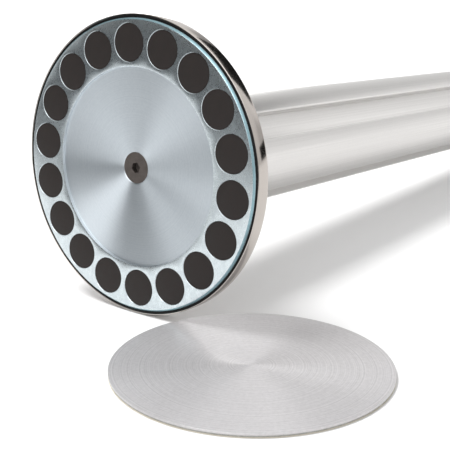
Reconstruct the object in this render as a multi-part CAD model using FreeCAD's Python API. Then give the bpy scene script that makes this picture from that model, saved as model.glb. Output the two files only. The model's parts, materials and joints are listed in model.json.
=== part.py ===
import FreeCAD, Part
import math
import os
from FreeCAD import Vector

# A belt barrier post with a magnetic base, lying on its side on the floor beside
# its loose self-adhesive floor plate. Millimetres.
#
# Row frame: the origin is the middle of the floor plate's underside, on the floor.
# +Z is up, +X runs level along the post from its base to its head, and +Y points
# from the plate towards the post.
#
# Post frame: z runs along the post, from 0 at the magnet face to the head. x points
# up while the post lies down, and angles turn from x towards y.

# ---- floor plate ----
PLATE_R = 65.0
LINER_T = 0.25
PAD_T = 0.8
PAD_INSET = 0.4
DISC_T = 1.0
DISC_EDGE = 0.2

# ---- where the post lies beside the plate ----
POST_X = 21.24
POST_Y = 90.74
CONTACT_Z = 1.5

# ---- base ----
FACE_R = 74.9
FACE_EDGE = 1.0
CARRIER_T = 8.0
RECESS_R = 51.0
RECESS_DEPTH = 1.6
MAGNETS = 18
MAGNET_R = 9.5
MAGNET_CIRCLE_R = 62.75
MAGNET_PHASE = 16.46
MAGNET_SUNK = 0.1
MAGNET_EDGE = 0.3
POCKET_DEPTH = 5.0
FIT_GAP = 0.05
SEAL_INNER_R = 74.95
SEAL_R = 76.1
SEAL_FRONT = 0.9
SEAL_BACK = 3.0
SEAL_EDGE = 0.3
COVER_R = 76.8
COVER_WALL_R = 75.05
COVER_LIP_R = 76.15
COVER_FRONT = 0.9
COVER_EDGE = 0.3
COVER_BACK = 9.5
COVER_ROUND = 1.6
COVER_TOP = 13.0
COVER_TOP_R = 36.0
COVER_HOLE_R = 32.1

# ---- screw through the base, M8 countersunk with a hexagon socket ----
SCREW_R = 3.95
SCREW_HEAD_R = 8.0
SCREW_HEAD_T = 4.0
SCREW_END = 32.0
SCREW_HEX = 5.0
SCREW_HEX_DEPTH = 3.2
SCREW_HOLE_R = 4.2
SCREW_SINK_R = 8.2
PIN_R = 2.0
PIN_CIRCLE_R = 18.0
PIN_START = 5.0
PIN_END = 13.0
PIN_GAP = 0.02

# ---- socket in the tube's foot, and the rod that ties base and head together ----
FLANGE_R = 34.0
TUBE_START = 11.5
PLUG_R = 23.2
SOCKET_END = 45.0
ROD_R = 5.0
ROD_START = 20.0
ROD_TAP_END = 34.0
ROD_END = 906.0
ROD_HOLE_R = 5.1

# ---- four-slot tube ----
TUBE_R = 31.75
TUBE_END = 892.0
TUBE_INNER_R = 29.6
SLOTS = 4
SLOT_PHASE = 55.4
SLOT_HALF = 7.8
SLOT_FLOOR_R = 25.4
SLOT_WALL = 1.8
SLOT_LIP = 0.6

# ---- head, a rounded square ----
HEAD_HALF = 33.5
HEAD_CORNER = 14.0
HEAD_WALL = 3.0
HEAD_PLUG_START = 860.0
HEAD_START = 898.0
HEAD_FLOOR = 908.0
HEAD_FLOOR_TOP = 911.0
HEAD_END = 985.0
NUT_FLATS = 17.0
NUT_END = 905.5
CAP_HALF = 32.8
CAP_END = 991.0
CAP_EDGE = 1.2
CAP_BOSS_R = 6.0
CAP_BOSS_START = 982.5
BOSS_R = 4.0
BOSS_AT = 25.5
SMALL_SCREW_R = 1.2
SMALL_HEAD_R = 2.8
SMALL_HOLE_R = 1.25
SMALL_SEAT_R = 3.1
SMALL_HEAD_T = 2.0
SMALL_REACH = 12.0
WINDOW_HALF = 12.0
WINDOW_START = 912.5
INSERT_BACK = 27.0
INSERT_FACE = 33.3
CHANNEL_BACK = 28.5
CHANNEL_LIP = 31.5
CHANNEL_HALF = 9.3
CHANNEL_NECK = 6.5
CHANNEL_START = 914.5
OUTLET_HALF = 1.5
OUTLET_FLARE = 10.0
OUTLET_END = 970.5

# ---- belt, spool and return spring ----
BELT_W = 50.0
BELT_T = 0.5
BELT_START = 917.0
SPINDLE_R = 3.0
SPINDLE_START = 909.0
SPINDLE_END = 984.5
HUB_R = 9.0
SPOOL_R = 26.0
SPOOL_FLANGE = 1.5
SPOOL_GAP = 0.5
ROLL_R = 21.2
NECK_R = 5.0
NECK_END = 981.0
FELT_R = 12.0
FELT_HOLE_R = 3.3
FELT_TOP = 914.7
CUP_R = 24.0
CUP_START = 970.5
CUP_END = 982.0
CUP_WALL = 1.0
CUP_HOLE_R = 5.5
SPRING_R = 22.5
SPRING_EYE_R = 13.0
STRAP_END = 36.5
STRAP_BEND = 32.6

# ---- belt end clip ----
CLIP_START = 914.0
CLIP_END = 970.0
CLIP_BACK = 34.0
CLIP_PLATE = 36.5
CLIP_NECK = 38.9
CLIP_FACE = 41.5
CLIP_HALF = 12.0
CLIP_NECK_HALF = 6.0
CLIP_HEAD_HALF = 9.0
CLIP_SLIT = 0.6
CLIP_PIN_R = 1.4
CLIP_PIN_X = 38.0

FULL_TURN = 360.0
CENTRE_LINE = Vector(0, 0, 1)
EPS = 1e-6


def lying_angle():
    """Slope of the post, which rests on its base's back edge and on its head."""
    rise = COVER_R - HEAD_HALF
    run = HEAD_END - (COVER_BACK - COVER_ROUND)
    return math.atan2(rise, run)


def lay_down(shape):
    """Carry a piece from the post frame to the row frame."""
    s = math.sin(lying_angle())
    c = math.cos(lying_angle())
    shift_x = POST_X - (-COVER_R * s + CONTACT_Z * c)
    shift_z = COVER_R * c + (COVER_BACK - COVER_ROUND) * s
    matrix = FreeCAD.Matrix(s, 0, c, shift_x, 0, -1, 0, POST_Y, c, 0, -s, shift_z, 0, 0, 0, 1)
    return shape.transformed(matrix, True)


def rod(radius, start, end, x=0.0, y=0.0):
    """A round bar along z between two heights."""
    return Part.makeCylinder(radius, end - start, Vector(x, y, start))


def block(x0, x1, y0, y1, z0, z1):
    """A box between two corners."""
    return Part.makeBox(x1 - x0, y1 - y0, z1 - z0, Vector(x0, y0, z0))


def turned(outline):
    """A piece turned about the post's centre line from its (radius, height) outline."""
    points = [Vector(r, 0, z) for r, z in outline]
    face = Part.Face(Part.makePolygon(points + points[:1]))
    return face.revolve(Vector(0, 0, 0), CENTRE_LINE, FULL_TURN)


def turn(shape, degrees):
    """A copy turned about the post's centre line."""
    copy = shape.copy()
    copy.rotate(Vector(0, 0, 0), CENTRE_LINE, degrees)
    return copy


def around(count, phase):
    """Evenly spaced angles about the centre line, in degrees."""
    return [phase + FULL_TURN * i / count for i in range(count)]


def rounded_square(half, corner, start, end):
    """An upright bar whose section is a square with rounded corners."""
    bar = block(-half, half, -half, half, start, end)
    upright = [e for e in bar.Edges if e.Vertexes[0].Z != e.Vertexes[1].Z]
    return bar.makeFillet(corner, upright)


def circle_edges(shape, radius, height):
    """The round edges of a shape with one radius at one height."""
    found = []
    for edge in shape.Edges:
        if not isinstance(edge.Curve, Part.Circle):
            continue
        same_radius = abs(edge.Curve.Radius - radius) < EPS
        same_height = abs(edge.Curve.Center.z - height) < EPS
        if same_radius and same_height:
            found.append(edge)
    return found


def hexagon(flats, start, end):
    """A hexagonal bar, given the distance across its flats."""
    corner_r = flats / math.sqrt(3.0)
    corners = [turn_point(corner_r, a) for a in around(6, 0.0)]
    points = [Vector(x, y, start) for x, y in corners]
    face = Part.Face(Part.makePolygon(points + points[:1]))
    return face.extrude(Vector(0, 0, end - start))


def turn_point(radius, degrees):
    """A point on a circle about the centre line."""
    a = math.radians(degrees)
    return radius * math.cos(a), radius * math.sin(a)


# ---- base ----
def magnet_places():
    """The middle of each magnet on the face."""
    return [turn_point(MAGNET_CIRCLE_R, a) for a in around(MAGNETS, MAGNET_PHASE)]


def pin_places():
    """The middle of each locating pin."""
    return [(0.0, PIN_CIRCLE_R), (0.0, -PIN_CIRCLE_R)]


def magnet_carrier():
    """Zinc-plated disc with a pocket for each magnet and a shallow turned recess."""
    sink_end = RECESS_DEPTH + SCREW_SINK_R - SCREW_HOLE_R
    disc = turned([
        (SCREW_HOLE_R, sink_end),
        (SCREW_SINK_R, RECESS_DEPTH),
        (RECESS_R, RECESS_DEPTH),
        (RECESS_R, 0.0),
        (FACE_R - FACE_EDGE, 0.0),
        (FACE_R, FACE_EDGE),
        (FACE_R, CARRIER_T),
        (SCREW_HOLE_R, CARRIER_T)])
    pockets = [rod(MAGNET_R + FIT_GAP, -1.0, POCKET_DEPTH, x, y) for x, y in magnet_places()]
    holes = [rod(PIN_R + PIN_GAP, PIN_START, CARRIER_T + 1.0, x, y) for x, y in pin_places()]
    return disc.cut(pockets + holes)


def magnet(x, y):
    """One ferrite disc magnet, its front edge broken."""
    disc = rod(MAGNET_R, MAGNET_SUNK, POCKET_DEPTH, x, y)
    return disc.makeChamfer(MAGNET_EDGE, circle_edges(disc, MAGNET_R, MAGNET_SUNK))


def edge_seal():
    """Black rubber ring in the groove between the face and the cover's lip."""
    return turned([
        (SEAL_INNER_R, SEAL_FRONT),
        (SEAL_R - SEAL_EDGE, SEAL_FRONT),
        (SEAL_R, SEAL_FRONT + SEAL_EDGE),
        (SEAL_R, SEAL_BACK),
        (SEAL_INNER_R, SEAL_BACK)])


def base_cover():
    """Polished shell: a front lip round the seal, a low wall and a shallow cone."""
    shell = turned([
        (COVER_WALL_R, SEAL_BACK),
        (COVER_LIP_R, SEAL_BACK),
        (COVER_LIP_R, COVER_FRONT),
        (COVER_R - COVER_EDGE, COVER_FRONT),
        (COVER_R, COVER_FRONT + COVER_EDGE),
        (COVER_R, COVER_BACK),
        (COVER_TOP_R, COVER_TOP),
        (COVER_HOLE_R, COVER_TOP),
        (COVER_HOLE_R, TUBE_START),
        (FLANGE_R, TUBE_START),
        (COVER_WALL_R, CARRIER_T)])
    return shell.makeFillet(COVER_ROUND, circle_edges(shell, COVER_R, COVER_BACK))


def base_screw():
    """Countersunk screw, its head level with the recess's floor."""
    head = RECESS_DEPTH + FIT_GAP
    body = turned([
        (0.0, head),
        (SCREW_HEAD_R, head),
        (SCREW_R, head + SCREW_HEAD_T),
        (SCREW_R, SCREW_END),
        (0.0, SCREW_END)])
    return body.cut(hexagon(SCREW_HEX, head - 1.0, head + SCREW_HEX_DEPTH))


def locating_pins():
    """Two pins that stop the base from turning on the tube."""
    return Part.makeCompound([rod(PIN_R, PIN_START, PIN_END, x, y) for x, y in pin_places()])


def tube_socket():
    """Foot of the tube: a flange under its end and a plug inside it."""
    body = rod(FLANGE_R, CARRIER_T, TUBE_START).fuse(rod(PLUG_R, TUBE_START, SOCKET_END))
    holes = [rod(PIN_R + PIN_GAP, CARRIER_T - 1.0, PIN_END, x, y) for x, y in pin_places()]
    screw_way = rod(SCREW_HOLE_R, CARRIER_T - 1.0, ROD_START)
    rod_way = rod(ROD_HOLE_R, ROD_START, SOCKET_END + 1.0)
    return body.cut(holes + [screw_way, rod_way]).removeSplitter()


# ---- tube ----
def slot_bar(half, inner):
    """A bar along x that fills one slot of the tube."""
    return block(inner, TUBE_R + 1.0, -half, half, TUBE_START - 1.0, TUBE_END + 1.0)


def lip_bevel(side):
    """A square bar set on its corner that bevels one lip of a slot."""
    lip_x = math.sqrt(TUBE_R ** 2 - SLOT_HALF ** 2)
    bar = block(-SLOT_LIP, SLOT_LIP, -SLOT_LIP, SLOT_LIP, TUBE_START - 1.0, TUBE_END + 1.0)
    bar.rotate(Vector(0, 0, 0), CENTRE_LINE, 45.0)
    bar.translate(Vector(lip_x, side * SLOT_HALF, 0))
    return bar


def post_tube():
    """Extruded tube with four open slots down its length."""
    outer = rod(TUBE_R, TUBE_START, TUBE_END)
    hollow = rod(TUBE_INNER_R, TUBE_START - 1.0, TUBE_END + 1.0)
    channels = []
    cuts = []
    for angle in around(SLOTS, SLOT_PHASE):
        channels.append(turn(slot_bar(SLOT_HALF + SLOT_WALL, SLOT_FLOOR_R - SLOT_WALL), angle))
        cuts.append(turn(slot_bar(SLOT_HALF, SLOT_FLOOR_R), angle))
        cuts.append(turn(lip_bevel(1), angle))
        cuts.append(turn(lip_bevel(-1), angle))
    return outer.cut(hollow.cut(channels)).cut(cuts)


def tie_rod():
    """Rod that pulls the head and the base onto the tube."""
    return rod(ROD_R, ROD_START, ROD_END).cut(rod(SCREW_R + FIT_GAP, ROD_START - 1.0, ROD_TAP_END))


# ---- head ----
def corner_places():
    """The four corners of the head that take screws."""
    return [(sx * BOSS_AT, sy * BOSS_AT) for sx in (-1, 1) for sy in (-1, 1)]


def small_screws(seat, way):
    """Four screws in the head's corners; way is 1 if they point up the post, or -1 down it."""
    pieces = []
    for x, y in corner_places():
        under = seat + way * SMALL_HEAD_T
        tip = under + way * SMALL_REACH
        head = rod(SMALL_HEAD_R, min(seat, under), max(seat, under), x, y)
        shank = rod(SMALL_SCREW_R, min(under, tip), max(under, tip), x, y)
        pieces.append(head.fuse(shank))
    return Part.makeCompound(pieces)


def screw_ways(seat, way):
    """The holes and counterbores for the four corner screws."""
    ways = []
    for x, y in corner_places():
        under = seat + way * SMALL_HEAD_T
        tip = under + way * (SMALL_REACH + 1.0)
        out = seat - way
        ways.append(rod(SMALL_SEAT_R, min(out, under), max(out, under), x, y))
        ways.append(rod(SMALL_HOLE_R, min(under, tip), max(under, tip), x, y))
    return ways


HOUSING_SCREW_SEAT = TUBE_END + 1.0
CAP_SCREW_SEAT = CAP_END - 1.0
RECEIVER_ANGLES = [90.0, 180.0, 270.0]


def head_base():
    """Plate on the tube's end, with a plug inside the tube."""
    plate = rounded_square(HEAD_HALF, HEAD_CORNER, TUBE_END, HEAD_START)
    plug = rod(PLUG_R, HEAD_PLUG_START, TUBE_END)
    way = rod(ROD_HOLE_R, HEAD_PLUG_START - 1.0, HEAD_START + 1.0)
    return plate.fuse(plug).cut([way] + screw_ways(HOUSING_SCREW_SEAT, 1)).removeSplitter()


def tie_nut():
    """Nut that tightens the tie rod under the head's floor."""
    return hexagon(NUT_FLATS, HEAD_START, NUT_END).cut(rod(ROD_R + FIT_GAP, HEAD_START - 1.0, NUT_END + 1.0))


def face_window(angle):
    """The window in one face of the housing, open at the top."""
    window = block(INSERT_BACK, HEAD_HALF + 1.0, -WINDOW_HALF, WINDOW_HALF, WINDOW_START, HEAD_END + 1.0)
    return turn(window, angle)


def head_housing():
    """Square case round the belt spool, with a window in each face."""
    inner = HEAD_HALF - HEAD_WALL
    inner_corner = HEAD_CORNER - HEAD_WALL
    case = rounded_square(HEAD_HALF, HEAD_CORNER, HEAD_START, HEAD_END)
    below = rounded_square(inner, inner_corner, HEAD_START - 1.0, HEAD_FLOOR)
    above = rounded_square(inner, inner_corner, HEAD_FLOOR_TOP, HEAD_END + 1.0)
    bosses = [rod(BOSS_R, HEAD_START, HEAD_END, x, y) for x, y in corner_places()]
    case = case.cut([below, above]).fuse(bosses)
    ways = screw_ways(HOUSING_SCREW_SEAT, 1) + screw_ways(CAP_SCREW_SEAT, -1)
    spindle_way = rod(SPINDLE_R + PIN_GAP, SPINDLE_START, HEAD_FLOOR_TOP + 1.0)
    windows = [face_window(a) for a in around(4, 0.0)]
    return case.cut(ways + windows + [spindle_way]).removeSplitter()


def insert_block():
    """The block that fills a window of the housing."""
    gap = FIT_GAP
    return block(INSERT_BACK, INSERT_FACE, gap - WINDOW_HALF, WINDOW_HALF - gap,
                 WINDOW_START + gap, HEAD_END - gap)


def channel_way(angle):
    """The T-shaped way that another post's belt end slides down, from above the cap."""
    top = CAP_END + 1.0
    wide = block(CHANNEL_BACK, CHANNEL_LIP, -CHANNEL_HALF, CHANNEL_HALF, CHANNEL_START, top)
    neck = block(CHANNEL_LIP, HEAD_HALF + 1.0, -CHANNEL_NECK, CHANNEL_NECK, CHANNEL_START, top)
    return turn(wide.fuse(neck), angle)


def receiver(angle):
    """Socket in one face of the head for the belt end of another post."""
    return turn(insert_block(), angle).cut(channel_way(angle))


def belt_outlet():
    """Mouthpiece that guides the belt out of the front face."""
    outline = [
        Vector(INSERT_BACK - 1.0, -OUTLET_HALF, CHANNEL_START),
        Vector(HEAD_HALF + 1.0, -OUTLET_HALF, CHANNEL_START),
        Vector(HEAD_HALF, OUTLET_HALF, CHANNEL_START),
        Vector(INSERT_BACK - 1.0, OUTLET_FLARE, CHANNEL_START)]
    mouth = Part.Face(Part.makePolygon(outline + outline[:1]))
    return insert_block().cut(mouth.extrude(Vector(0, 0, OUTLET_END - CHANNEL_START)))


def top_cap():
    """Lid of the head, notched over the receivers, with a boss for the spindle's end."""
    lid = rounded_square(CAP_HALF, HEAD_CORNER, HEAD_END, CAP_END)
    top_edges = [e for e in lid.Edges if all(abs(v.Z - CAP_END) < EPS for v in e.Vertexes)]
    lid = lid.makeChamfer(CAP_EDGE, top_edges)
    boss = rod(CAP_BOSS_R, CAP_BOSS_START, HEAD_END)
    way = rod(SPINDLE_R + PIN_GAP, CAP_BOSS_START - 1.0, SPINDLE_END)
    notches = [channel_way(a) for a in RECEIVER_ANGLES]
    return lid.fuse(boss).cut([way] + screw_ways(CAP_SCREW_SEAT, -1) + notches).removeSplitter()


# ---- belt, spool and return spring ----
def spindle():
    """Pin that the spool turns on."""
    return rod(SPINDLE_R, SPINDLE_START, SPINDLE_END)


def belt_spool():
    """Hub with two flanges and a neck that reaches into the spring's eye."""
    belt_end = BELT_START + BELT_W
    low = BELT_START - SPOOL_GAP
    high = belt_end + SPOOL_GAP
    hub = rod(HUB_R, low, high)
    flanges = [rod(SPOOL_R, low - SPOOL_FLANGE, low), rod(SPOOL_R, high, high + SPOOL_FLANGE)]
    neck = rod(NECK_R, high, NECK_END)
    bore = rod(SPINDLE_R + FIT_GAP, low - SPOOL_FLANGE - 1.0, NECK_END + 1.0)
    return hub.fuse(flanges + [neck]).cut(bore).removeSplitter()


def belt_roll():
    """The wound length of the belt."""
    return rod(ROLL_R, BELT_START, BELT_START + BELT_W).cut(
        rod(HUB_R + FIT_GAP, BELT_START - 1.0, BELT_START + BELT_W + 1.0))


def felt_washer():
    """Felt that slows the spool's return."""
    return rod(FELT_R, HEAD_FLOOR_TOP, FELT_TOP).cut(
        rod(FELT_HOLE_R, HEAD_FLOOR_TOP - 1.0, FELT_TOP + 1.0))


def spring_cup():
    """Cup that holds the outer end of the return spring."""
    outer = rod(CUP_R, CUP_START, CUP_END)
    inner = rod(CUP_R - CUP_WALL, CUP_START + CUP_WALL, CUP_END + 1.0)
    return outer.cut([inner, rod(CUP_HOLE_R, CUP_START - 1.0, CUP_END)])


def return_spring():
    """The coiled flat spring, as the ring that its turns fill."""
    start = CUP_START + CUP_WALL + FIT_GAP
    end = CUP_END - CUP_WALL
    return rod(SPRING_R, start, end).cut(rod(SPRING_EYE_R, start - 1.0, end + 1.0))


def belt_strap():
    """The free stretch of belt, from the roll through the outlet to the clip."""
    leave_r = ROLL_R + BELT_T
    leave = math.acos(leave_r / STRAP_BEND)
    tangent = Vector(leave_r * math.cos(leave), leave_r * math.sin(leave), 0)
    bend = Vector(STRAP_BEND, 0, 0)
    end = Vector(STRAP_END, 0, 0)
    across = Vector(math.cos(leave), math.sin(leave), 0).multiply(BELT_T / 2)
    mitre = math.tan((math.pi / 2 - leave) / 2) * BELT_T / 2
    up = Vector(0, BELT_T / 2, 0)
    outline = [tangent + across, bend + up + Vector(mitre, 0, 0), end + up,
               end - up, bend - up - Vector(mitre, 0, 0), tangent - across]
    outline = [p + Vector(0, 0, BELT_START) for p in outline]
    face = Part.Face(Part.makePolygon(outline + outline[:1]))
    return face.extrude(Vector(0, 0, BELT_W))


def belt_clip():
    """T-shaped end of the belt, which slides into another post's receiver."""
    plate = block(CLIP_BACK, CLIP_PLATE, -CLIP_HALF, CLIP_HALF, CLIP_START, CLIP_END)
    neck = block(CLIP_PLATE, CLIP_NECK, -CLIP_NECK_HALF, CLIP_NECK_HALF, CLIP_START, CLIP_END)
    head = block(CLIP_NECK, CLIP_FACE, -CLIP_HEAD_HALF, CLIP_HEAD_HALF, CLIP_START, CLIP_END)
    low = BELT_START - SPOOL_GAP
    high = BELT_START + BELT_W + SPOOL_GAP
    slit = block(CLIP_BACK - 1.0, CLIP_PIN_X, -CLIP_SLIT, CLIP_SLIT, low, high)
    pin_way = rod(CLIP_PIN_R + FIT_GAP, low - 1.0, high + 1.0, CLIP_PIN_X)
    return plate.fuse([neck, head]).cut([slit, pin_way]).removeSplitter()


def clip_pin():
    """Pin that the belt's sewn loop goes round inside the clip."""
    return rod(CLIP_PIN_R, BELT_START - SPOOL_GAP, BELT_START + BELT_W + SPOOL_GAP, CLIP_PIN_X)


# ---- floor plate, made straight in the row frame ----
def release_liner():
    """Peel-off liner under the adhesive."""
    return rod(PLATE_R, 0.0, LINER_T)


def adhesive_pad():
    """Double-sided foam pad between liner and disc."""
    return rod(PLATE_R - PAD_INSET, LINER_T, LINER_T + PAD_T)


def plate_disc():
    """Thin steel disc that the magnets hold, its top edge broken."""
    top = LINER_T + PAD_T + DISC_T
    disc = rod(PLATE_R, LINER_T + PAD_T, top)
    return disc.makeChamfer(DISC_EDGE, circle_edges(disc, PLATE_R, top))


def write(name, shape):
    """Save one node."""
    shape.exportStep(os.path.join("parts", name + ".step"))
    print(name, round(shape.Volume, 1), shape.isValid(), len(shape.Solids))


os.makedirs("parts", exist_ok=True)

POST_PIECES = {
    "magnet_carrier": magnet_carrier(),
    "edge_seal": edge_seal(),
    "base_cover": base_cover(),
    "base_screw": base_screw(),
    "locating_pins": locating_pins(),
    "tube_socket": tube_socket(),
    "post_tube": post_tube(),
    "tie_rod": tie_rod(),
    "tie_nut": tie_nut(),
    "head_base": head_base(),
    "housing_screws": small_screws(HOUSING_SCREW_SEAT, 1),
    "head_housing": head_housing(),
    "belt_outlet": belt_outlet(),
    "top_cap": top_cap(),
    "cap_screws": small_screws(CAP_SCREW_SEAT, -1),
    "spindle": spindle(),
    "belt_spool": belt_spool(),
    "belt_roll": belt_roll(),
    "felt_washer": felt_washer(),
    "spring_cup": spring_cup(),
    "return_spring": return_spring(),
    "belt_strap": belt_strap(),
    "belt_clip": belt_clip(),
    "clip_pin": clip_pin(),
}
for name, angle in zip(["receiver_left", "receiver_back", "receiver_right"], RECEIVER_ANGLES):
    POST_PIECES[name] = receiver(angle)
for number, place in enumerate(magnet_places(), start=1):
    POST_PIECES["magnet_%02d" % number] = magnet(*place)
for node, piece in POST_PIECES.items():
    write(node, lay_down(piece))

write("release_liner", release_liner())
write("adhesive_pad", adhesive_pad())
write("plate_disc", plate_disc())
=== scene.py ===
import json
import math

import bmesh
import bpy
from mathutils import Matrix, Quaternion, Vector


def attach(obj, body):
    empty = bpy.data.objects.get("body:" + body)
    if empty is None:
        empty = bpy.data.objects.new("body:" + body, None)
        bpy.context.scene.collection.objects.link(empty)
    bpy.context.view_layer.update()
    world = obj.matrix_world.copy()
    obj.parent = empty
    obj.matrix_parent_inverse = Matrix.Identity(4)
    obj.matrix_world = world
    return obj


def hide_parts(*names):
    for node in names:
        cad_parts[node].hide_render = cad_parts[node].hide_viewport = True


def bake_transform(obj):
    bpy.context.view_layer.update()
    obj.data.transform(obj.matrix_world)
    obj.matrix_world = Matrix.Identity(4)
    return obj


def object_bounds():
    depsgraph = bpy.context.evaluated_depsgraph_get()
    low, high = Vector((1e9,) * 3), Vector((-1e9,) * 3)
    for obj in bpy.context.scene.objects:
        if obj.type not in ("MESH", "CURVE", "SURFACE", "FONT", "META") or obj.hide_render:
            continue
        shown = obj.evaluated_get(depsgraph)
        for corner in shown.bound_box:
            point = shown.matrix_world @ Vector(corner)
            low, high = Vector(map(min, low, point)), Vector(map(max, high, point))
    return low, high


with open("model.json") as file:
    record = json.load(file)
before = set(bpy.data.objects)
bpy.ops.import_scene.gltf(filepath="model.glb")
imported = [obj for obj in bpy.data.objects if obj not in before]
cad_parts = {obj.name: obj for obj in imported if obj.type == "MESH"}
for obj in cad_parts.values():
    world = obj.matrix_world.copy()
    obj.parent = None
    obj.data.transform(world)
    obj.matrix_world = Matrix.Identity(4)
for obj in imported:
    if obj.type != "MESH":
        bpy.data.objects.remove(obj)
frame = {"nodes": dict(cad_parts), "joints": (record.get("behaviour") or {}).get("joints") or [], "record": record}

# A belt barrier post with a magnetic base, lying beside its loose floor plate.
# Sizes in this script are millimetres until a mesh is made. Pieces of the post are
# made in the post's own frame: z runs along it from the magnet face, x is up.

cad_low, cad_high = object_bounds()
MM = 0.001
AS_BUILT = Matrix.Identity(4)


def post_frame():
    """Where the post lies, from its spool joint, its belt joint and its magnet face."""
    joints = {j["name"]: j for j in frame["joints"]}
    mounts = {m["name"]: m for m in frame["record"]["mounts"]}
    up = Vector(joints["belt_pull"]["axis"]).normalized()
    along = Vector(joints["spool_turn"]["axis"]).normalized()
    middle = Vector(joints["spool_turn"]["pos_m"])
    face = Vector(mounts["magnet_face"]["pos_m"])
    origin = middle - along * (middle - face).dot(along)
    turned_frame = Matrix((up, along.cross(up), along)).transposed().to_4x4()
    return Matrix.Translation(origin) @ turned_frame


POST = post_frame()


def span(node, place=POST):
    """Lowest and highest corner of a CAD node in a piece's own frame."""
    inverse = place.inverted()
    points = [inverse @ v.co / MM for v in frame["nodes"][node].data.vertices]
    low = Vector([min(p[i] for p in points) for i in range(3)])
    high = Vector([max(p[i] for p in points) for i in range(3)])
    return low, high


# ---------------------------------------------------------------- mesh tools
def ring(bm, radius, z, count, x=0.0, y=0.0, phase=0.0):
    """A circle of points, or the single point in the middle."""
    if radius == 0.0:
        return [bm.verts.new((x * MM, y * MM, z * MM))]
    points = []
    for i in range(count):
        a = phase + 2 * math.pi * i / count
        spot = (x + radius * math.cos(a), y + radius * math.sin(a), z)
        points.append(bm.verts.new([value * MM for value in spot]))
    return points


def bridge(bm, first, second):
    """Faces between two loops of points."""
    if len(first) > len(second):
        first, second = second, first
    count = len(second)
    for i in range(count):
        j = (i + 1) % count
        if len(first) == 1:
            bm.faces.new((first[0], second[i], second[j]))
        else:
            bm.faces.new((first[i], first[j], second[j], second[i]))


def turned(bm, outline, count, x=0.0, y=0.0, closed=False):
    """Turns a (radius, height) outline about an axis along z."""
    rings = [ring(bm, r, z, count, x, y) for r, z in outline]
    others = rings[1:] + rings[:1] if closed else rings[1:]
    for first, second in zip(rings, others):
        bridge(bm, first, second)
    return rings


def fill_open(bm):
    """Closes every flat opening of a mesh, with its islands left out."""
    edges = [e for e in bm.edges if len(e.link_faces) == 1]
    bmesh.ops.triangle_fill(bm, use_beauty=True, use_dissolve=False, edges=edges)


def prism(bm, outline, z0, z1):
    """A bar along z with the given section."""
    low = [bm.verts.new((x * MM, y * MM, z0 * MM)) for x, y in outline]
    high = [bm.verts.new((x * MM, y * MM, z1 * MM)) for x, y in outline]
    bridge(bm, low, high)
    bm.faces.new(low)
    bm.faces.new(high)


def box_outline(x0, x1, y0, y1):
    """A rectangle's corners."""
    return [(x0, y0), (x1, y0), (x1, y1), (x0, y1)]


def turn_outline(outline, degrees):
    """The same outline turned about the middle."""
    c, s = math.cos(math.radians(degrees)), math.sin(math.radians(degrees))
    return [(x * c - y * s, x * s + y * c) for x, y in outline]


def arc(cx, cy, radius, start, end, steps):
    """Points on an arc, with its ends, in degrees."""
    spots = []
    for i in range(steps + 1):
        a = math.radians(start + (end - start) * i / steps)
        spots.append((cx + radius * math.cos(a), cy + radius * math.sin(a)))
    return spots


def rounded_square(half, corner):
    """A square outline with rounded corners."""
    c = half - corner
    outline = []
    for quarter in range(4):
        outline += turn_outline(arc(c, c, corner, 0.0, 90.0, 10), 90.0 * quarter)
    return outline


def circle_outline(radius, count, x=0.0, y=0.0):
    """A round outline."""
    return arc(x, y, radius, 0.0, 360.0, count)[:-1]


def to_object(name, bm):
    """A new object from a mesh under construction, its faces turned outward."""
    bmesh.ops.recalc_face_normals(bm, faces=bm.faces)
    mesh = bpy.data.meshes.new(name)
    bm.to_mesh(mesh)
    bm.free()
    made = bpy.data.objects.new(name, mesh)
    bpy.context.scene.collection.objects.link(made)
    return made


def applied(obj):
    """The object with its modifiers made part of its mesh."""
    graph = bpy.context.evaluated_depsgraph_get()
    obj.data = bpy.data.meshes.new_from_object(obj.evaluated_get(graph))
    obj.modifiers.clear()
    return obj


def carve(obj, tools, operation="DIFFERENCE"):
    """Takes tool shapes away from an object, or adds them to it."""
    for tool_mesh in tools:
        tool = to_object("tool", tool_mesh)
        cut = obj.modifiers.new("cut", "BOOLEAN")
        cut.operation = operation
        cut.solver = "EXACT"
        cut.object = tool
        applied(obj)
        bpy.data.objects.remove(tool)
    return obj


def soften(obj, width, angle=35.0, segments=2):
    """Rounds an object's sharp edges a little."""
    bevel = obj.modifiers.new("soften", "BEVEL")
    bevel.width = width * MM
    bevel.segments = segments
    bevel.limit_method = "ANGLE"
    bevel.angle_limit = math.radians(angle)
    bevel.miter_outer = "MITER_ARC"
    return applied(obj)


def settle(obj, materials, body, nodes, place=POST, sharp=32.0):
    """Puts a finished piece in its place, on its body, in place of its CAD nodes."""
    for made in materials:
        obj.data.materials.append(made)
    for face in obj.data.polygons:
        face.use_smooth = True
    obj.data.set_sharp_from_angle(angle=math.radians(sharp))
    obj.matrix_world = place
    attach(obj, body)
    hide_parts(*nodes)
    return obj


# ---------------------------------------------------------------- material tools
def linear(code):
    """An sRGB hex colour as linear red, green, blue and alpha."""
    channels = [int(code[i:i + 2], 16) / 255 for i in (1, 3, 5)]
    return [c / 12.92 if c <= 0.04045 else ((c + 0.055) / 1.055) ** 2.4 for c in channels] + [1.0]


def each(size):
    """The scale of a pattern that repeats every so many millimetres."""
    return 1 / (size * MM)


def add(tree, kind, inputs=None, **settings):
    """Adds a node; each input takes a value or another node's output."""
    made = tree.nodes.new("ShaderNode" + kind)
    for key, value in settings.items():
        setattr(made, key, value)
    for key, value in (inputs or {}).items():
        if isinstance(value, bpy.types.NodeSocket):
            tree.links.new(value, made.inputs[key])
        else:
            made.inputs[key].default_value = value
    return made


def blank(name):
    """A new material with no nodes."""
    made = bpy.data.materials.new(name)
    made.use_nodes = True
    made.node_tree.nodes.clear()
    return made, made.node_tree


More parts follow.
